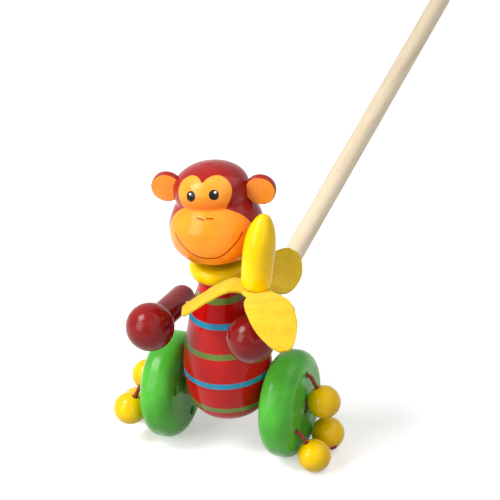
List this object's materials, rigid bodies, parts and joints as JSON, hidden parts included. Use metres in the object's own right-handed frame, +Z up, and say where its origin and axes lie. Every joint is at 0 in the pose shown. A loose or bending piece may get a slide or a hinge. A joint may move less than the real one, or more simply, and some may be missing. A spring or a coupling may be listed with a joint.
{
  "type": "push-along toy",
  "caption": "Turned wooden monkey on wheels with cord-tied beads, a banana in a felt peel above one hand, and a dowel push stick.",
  "frame": {"origin": "centre of the grip knob at the end of the push stick", "axes": "+Z up, -Y the way the monkey faces and rolls, +X along the wheel axle towards the monkey's left"},
  "size_m": [0.1349, 0.6021, 0.1753],
  "materials": {
    "red_paint": "glossy painted",
    "brown_paint": "glossy painted",
    "orange_paint": "glossy painted",
    "yellow_paint": "glossy painted",
    "green_paint": "glossy painted",
    "stick_wood": "plain sanded",
    "dowel_wood": "plain",
    "yellow_felt": "felt",
    "red_cord": "braided cord"
  },
  "bodies": {
    "monkey": {"body": "red_paint", "neck_dowel": "dowel_wood", "neck_collar": "yellow_paint", "push_stick": "stick_wood", "stick_knob": "stick_wood"},
    "head": {"head": "brown_paint", "ear_left": "orange_paint", "ear_right": "orange_paint", "ear_pin_left": "dowel_wood", "ear_pin_right": "dowel_wood"},
    "arms": {"shoulder_dowel": "dowel_wood", "arm_left": "brown_paint", "arm_right": "brown_paint", "banana_peg": "dowel_wood", "banana": "yellow_paint", "banana_peel": "yellow_felt"},
    "wheelset": {"axle": "dowel_wood", "wheel_left": "green_paint", "wheel_right": "green_paint"},
    "bead_left_1": {"tether_left_1": "red_cord", "bead_left_1": "yellow_paint"},
    "bead_left_2": {"tether_left_2": "red_cord", "bead_left_2": "yellow_paint"},
    "bead_left_3": {"tether_left_3": "red_cord", "bead_left_3": "yellow_paint"},
    "bead_right_1": {"tether_right_1": "red_cord", "bead_right_1": "yellow_paint"},
    "bead_right_2": {"tether_right_2": "red_cord", "bead_right_2": "yellow_paint"},
    "bead_right_3": {"tether_right_3": "red_cord", "bead_right_3": "yellow_paint"}
  },
  "joints": [
    {"name": "wheel_spin", "type": "hinge", "parent": "monkey", "child": "wheelset", "pos_m": [0, -0.51953, -0.06874], "axis": [1, 0, 0], "continuous": true},
    {"name": "arms_swing", "type": "hinge", "parent": "monkey", "child": "arms", "pos_m": [0, -0.51953, -0.01504], "axis": [-1, 0, 0], "range_deg": [-45, 2]},
    {"name": "head_turn", "type": "hinge", "parent": "monkey", "child": "head", "pos_m": [0, -0.51953, 0.02296], "axis": [0, 0, 1], "range_deg": [-20, 120]},
    {"name": "bead_left_1_swing", "type": "hinge", "parent": "wheelset", "child": "bead_left_1", "pos_m": [0.0452, -0.51602, -0.05068], "axis": [1, 0, 0], "continuous": true},
    {"name": "bead_left_2_swing", "type": "hinge", "parent": "wheelset", "child": "bead_left_2", "pos_m": [0.0452, -0.53693, -0.07473], "axis": [1, 0, 0], "continuous": true},
    {"name": "bead_left_3_swing", "type": "hinge", "parent": "wheelset", "child": "bead_left_3", "pos_m": [0.0452, -0.50565, -0.08081], "axis": [1, 0, 0], "continuous": true},
    {"name": "bead_right_1_swing", "type": "hinge", "parent": "wheelset", "child": "bead_right_1", "pos_m": [-0.0452, -0.53634, -0.06126], "axis": [1, 0, 0], "continuous": true},
    {"name": "bead_right_2_swing", "type": "hinge", "parent": "wheelset", "child": "bead_right_2", "pos_m": [-0.0452, -0.51761, -0.08704], "axis": [1, 0, 0], "continuous": true},
    {"name": "bead_right_3_swing", "type": "hinge", "parent": "wheelset", "child": "bead_right_3", "pos_m": [-0.0452, -0.50465, -0.05792], "axis": [1, 0, 0], "continuous": true}
  ],
  "couplings": [
    {"joint": "bead_left_1_swing", "follows": "wheel_spin", "ratio": -1},
    {"joint": "bead_left_2_swing", "follows": "wheel_spin", "ratio": -1},
    {"joint": "bead_left_3_swing", "follows": "wheel_spin", "ratio": -1},
    {"joint": "bead_right_1_swing", "follows": "wheel_spin", "ratio": -1},
    {"joint": "bead_right_2_swing", "follows": "wheel_spin", "ratio": -1},
    {"joint": "bead_right_3_swing", "follows": "wheel_spin", "ratio": -1}
  ]
}
